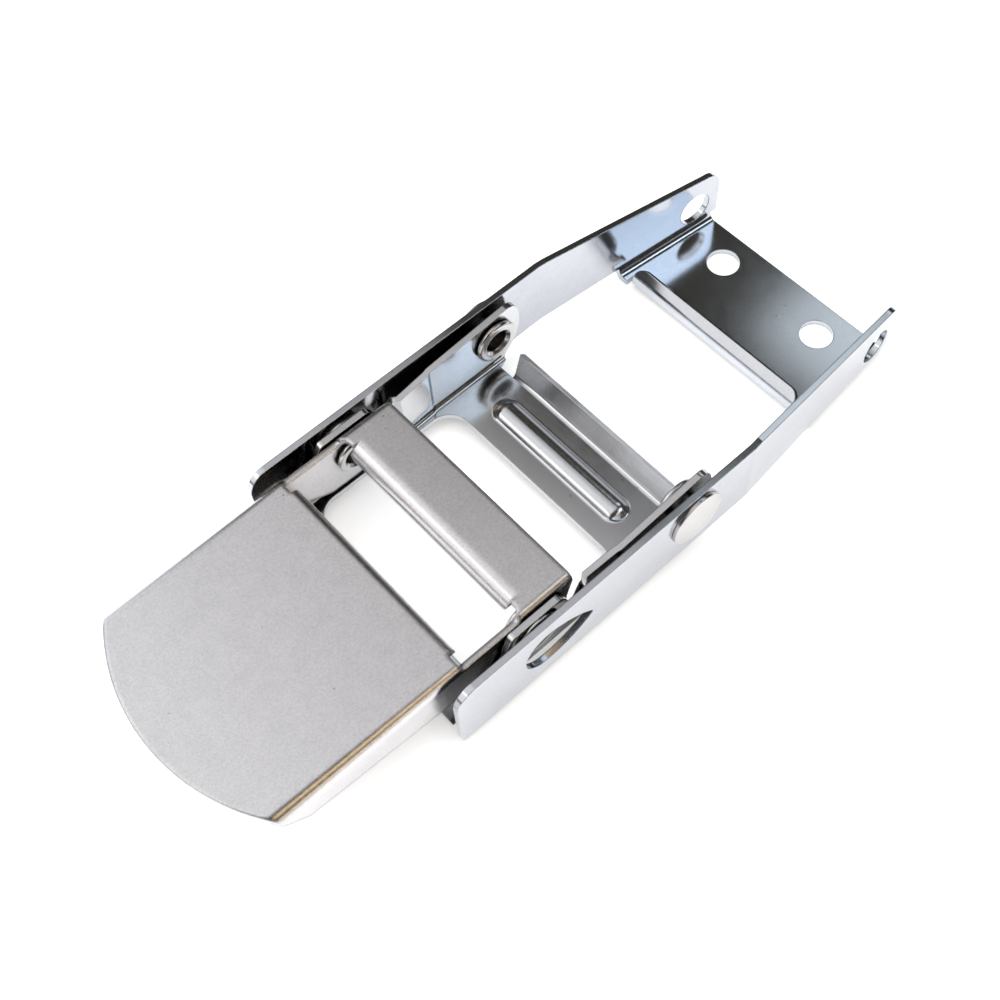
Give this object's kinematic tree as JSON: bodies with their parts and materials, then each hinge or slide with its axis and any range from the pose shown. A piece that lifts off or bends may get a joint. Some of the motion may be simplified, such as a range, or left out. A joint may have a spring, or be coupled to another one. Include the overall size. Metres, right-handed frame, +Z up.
{
  "type": "over-centre buckle",
  "caption": "Sheet-metal over-centre buckle for flat webbing: a railed base frame, a riveted swinging link and a lever with a thumb plate, slot and bar.",
  "frame": {"origin": "midway between the two strap holes, on the underside of the base plate", "axes": "+X from the thumb end to the base end, +Y across the buckle, +Z up from the surface it rests on"},
  "size_m": [0.1589, 0.062, 0.0192],
  "materials": {
    "frame_steel": "satin stainless steel, bright at the bends",
    "link_steel": "satin stainless steel",
    "lever_steel": "fine-grained satin stainless steel",
    "rivet_steel": "satin stainless steel"
  },
  "bodies": {
    "frame": {"frame": "frame_steel", "link_rivet_far": "rivet_steel", "link_rivet_near": "rivet_steel"},
    "link": {"link": "link_steel", "lever_rivet_far": "rivet_steel", "lever_rivet_near": "rivet_steel"},
    "lever": {"lever": "lever_steel"}
  },
  "joints": [
    {"name": "link_hinge", "type": "hinge", "parent": "frame", "child": "link", "pos_m": [-0.05295, 0, 0.0126], "axis": [0, 1, 0], "range_deg": [0, 120]},
    {"name": "lever_hinge", "type": "hinge", "parent": "link", "child": "lever", "pos_m": [-0.08895, 0, 0.0132], "axis": [0, 1, 0], "range_deg": [0, 75]}
  ]
}
